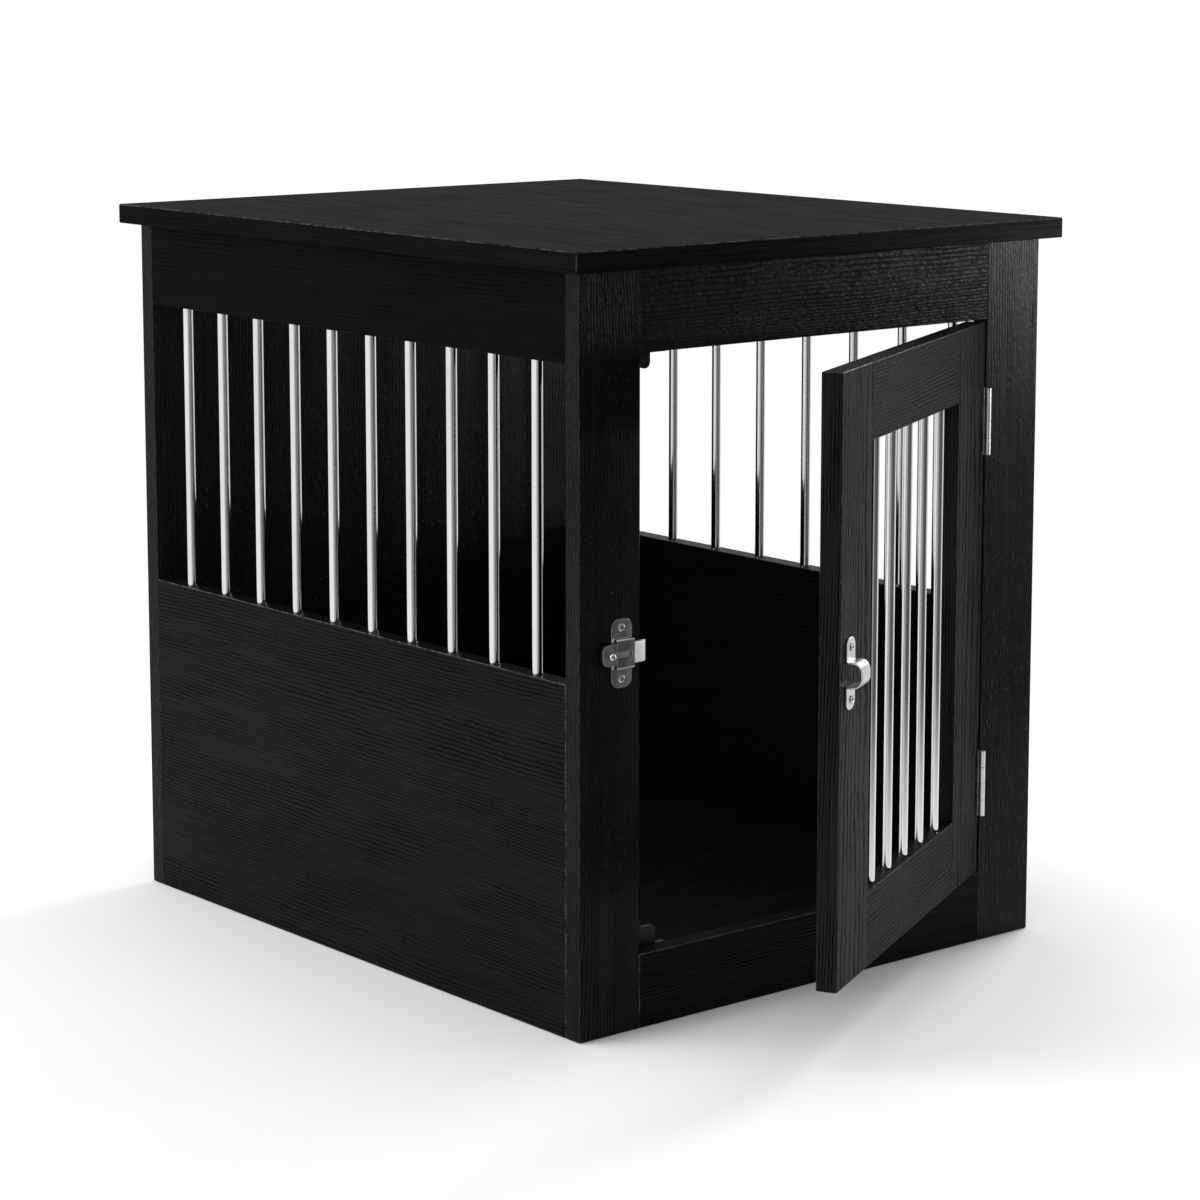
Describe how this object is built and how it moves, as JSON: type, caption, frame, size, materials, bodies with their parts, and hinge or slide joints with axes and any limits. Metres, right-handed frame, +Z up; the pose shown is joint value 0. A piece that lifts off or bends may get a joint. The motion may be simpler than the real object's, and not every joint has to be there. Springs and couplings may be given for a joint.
{
  "type": "pet crate",
  "caption": "Wooden pet crate that doubles as an end table, with barred sides, a barred swing door on butt hinges and a slide-bolt latch.",
  "frame": {"origin": "on the floor, under the middle of the cabinet, at the underside of the floor bearer", "axes": "+Z up, -Y towards the front with the door, +X to the right as seen from the front"},
  "size_m": [0.566, 0.8673, 0.66],
  "materials": {
    "table_top_wood": "black stained open-grain wood, satin",
    "front_rail_wood": "black stained open-grain wood, satin",
    "side_wood": "black stained open-grain wood, satin",
    "upright_wood": "black stained open-grain wood, satin",
    "door_rail_wood": "black stained open-grain wood, satin",
    "inner_wood": "black stained wood, plain",
    "bar_steel": "polished round bar",
    "latch_metal": "nickel plated",
    "hinge_metal": "nickel plated",
    "screw_metal": "plated",
    "stop_plastic": "moulded, black"
  },
  "bodies": {
    "cabinet": {"table_top": "table_top_wood", "front_left_post": "upright_wood", "front_right_post": "upright_wood", "front_top_rail": "front_rail_wood", "front_sill": "front_rail_wood", "left_top_rail": "side_wood", "left_lower_panel": "side_wood", "left_bars": "bar_steel", "right_top_rail": "side_wood", "right_lower_panel": "side_wood", "right_bars": "bar_steel", "back_panel": "upright_wood", "floor_panel": "inner_wood", "floor_bearer": "inner_wood", "floor_cleat_left": "inner_wood", "floor_cleat_right": "inner_wood", "top_cleat_left": "inner_wood", "top_cleat_right": "inner_wood", "cleat_screws": "screw_metal", "upper_hinge_post_leaf": "hinge_metal", "lower_hinge_post_leaf": "hinge_metal", "upper_hinge_pin": "hinge_metal", "lower_hinge_pin": "hinge_metal", "hinge_post_screws": "screw_metal", "latch_housing": "latch_metal", "latch_screws": "screw_metal", "door_stop_upper": "stop_plastic", "door_stop_lower": "stop_plastic", "door_stop_screws": "screw_metal"},
    "door": {"door_hinge_stile": "upright_wood", "door_latch_stile": "upright_wood", "door_top_rail": "door_rail_wood", "door_bottom_rail": "door_rail_wood", "door_bars": "bar_steel", "upper_hinge_door_leaf": "hinge_metal", "lower_hinge_door_leaf": "hinge_metal", "hinge_door_screws": "screw_metal", "keeper": "latch_metal", "keeper_screws": "screw_metal"},
    "latch_bolt": {"bolt_bar": "latch_metal", "bolt_knob": "latch_metal"}
  },
  "joints": [
    {"name": "door_swing", "type": "hinge", "parent": "cabinet", "child": "door", "pos_m": [0.202, -0.3313, 0.318], "axis": [0, 0, 1], "range_deg": [-28, 152]},
    {"name": "bolt_slide", "type": "slide", "parent": "cabinet", "child": "latch_bolt", "axis": [1, 0, 0], "range_m": [0, 0.022]}
  ]
}
